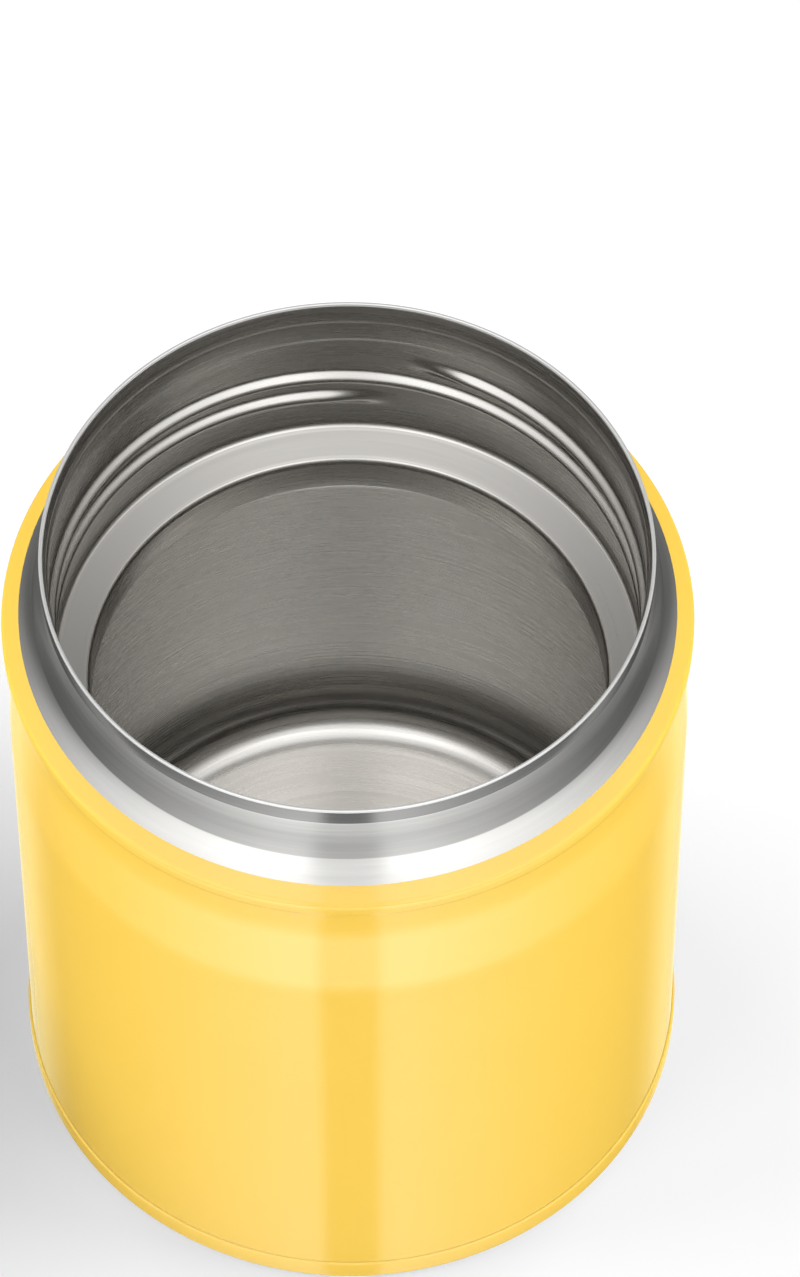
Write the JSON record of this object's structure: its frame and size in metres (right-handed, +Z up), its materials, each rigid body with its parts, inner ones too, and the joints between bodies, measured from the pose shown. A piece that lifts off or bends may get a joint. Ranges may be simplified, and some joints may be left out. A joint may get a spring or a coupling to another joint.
{
  "type": "insulated food jar",
  "caption": "Wide-mouth vacuum food jar with a painted body, bare steel neck and sealing ledge, and its screw-in lid taken off and laid top down beside it.",
  "frame": {"origin": "centre of the circle that the jar stands on", "axes": "+Z up the jar's axis, -X towards the lid that lies beside it, -Y towards the front as pictured"},
  "size_m": [0.2067, 0.1007, 0.1157],
  "materials": {
    "yellow_paint": "gloss",
    "brushed_steel": "satin",
    "plain_steel": "satin",
    "grey_plastic": "matte",
    "hard_solder": "satin",
    "foil": "polished",
    "getter_alloy": "matte",
    "yellow_plastic": "satin",
    "cream_plastic": "satin",
    "foam": "matte",
    "silicone": "matte",
    "spring_steel": "polished"
  },
  "bodies": {
    "jar": {"outer_shell": "yellow_paint", "outer_bottom": "yellow_paint", "vacuum_seal": "hard_solder", "bottom_plate": "grey_plastic", "inner_vessel": "brushed_steel", "inner_bottom": "brushed_steel", "side_foil": "foil", "bottom_foil": "foil", "getter": "getter_alloy", "getter_clip": "plain_steel"},
    "cover": {"lid_cover": "yellow_plastic", "retaining_ring": "cream_plastic", "vent_cam": "cream_plastic"},
    "stopper_unit": {"stopper": "cream_plastic", "stopper_cap": "cream_plastic", "lid_foam": "foam", "main_gasket": "silicone", "vent_spring": "spring_steel"},
    "vent_valve": {"vent_stem": "cream_plastic", "vent_gasket": "silicone", "vent_cap": "cream_plastic"}
  },
  "joints": [
    {"name": "lid_lift", "type": "slide", "parent": "jar", "child": "cover", "axis": [0, 0, 1], "range_m": [0, 0.15]},
    {"name": "stopper_turn", "type": "hinge", "parent": "cover", "child": "stopper_unit", "pos_m": [-0.112, 0.006, 0.03], "axis": [0, 0, 1], "range_deg": [0, 35]},
    {"name": "vent_push", "type": "slide", "parent": "stopper_unit", "child": "vent_valve", "axis": [0, 0, 1], "range_m": [0, 0.0012], "deforming": ["vent_spring"]}
  ],
  "couplings": [
    {"joint": "vent_push", "follows": "stopper_turn", "m_per_rad": 0.00196}
  ]
}
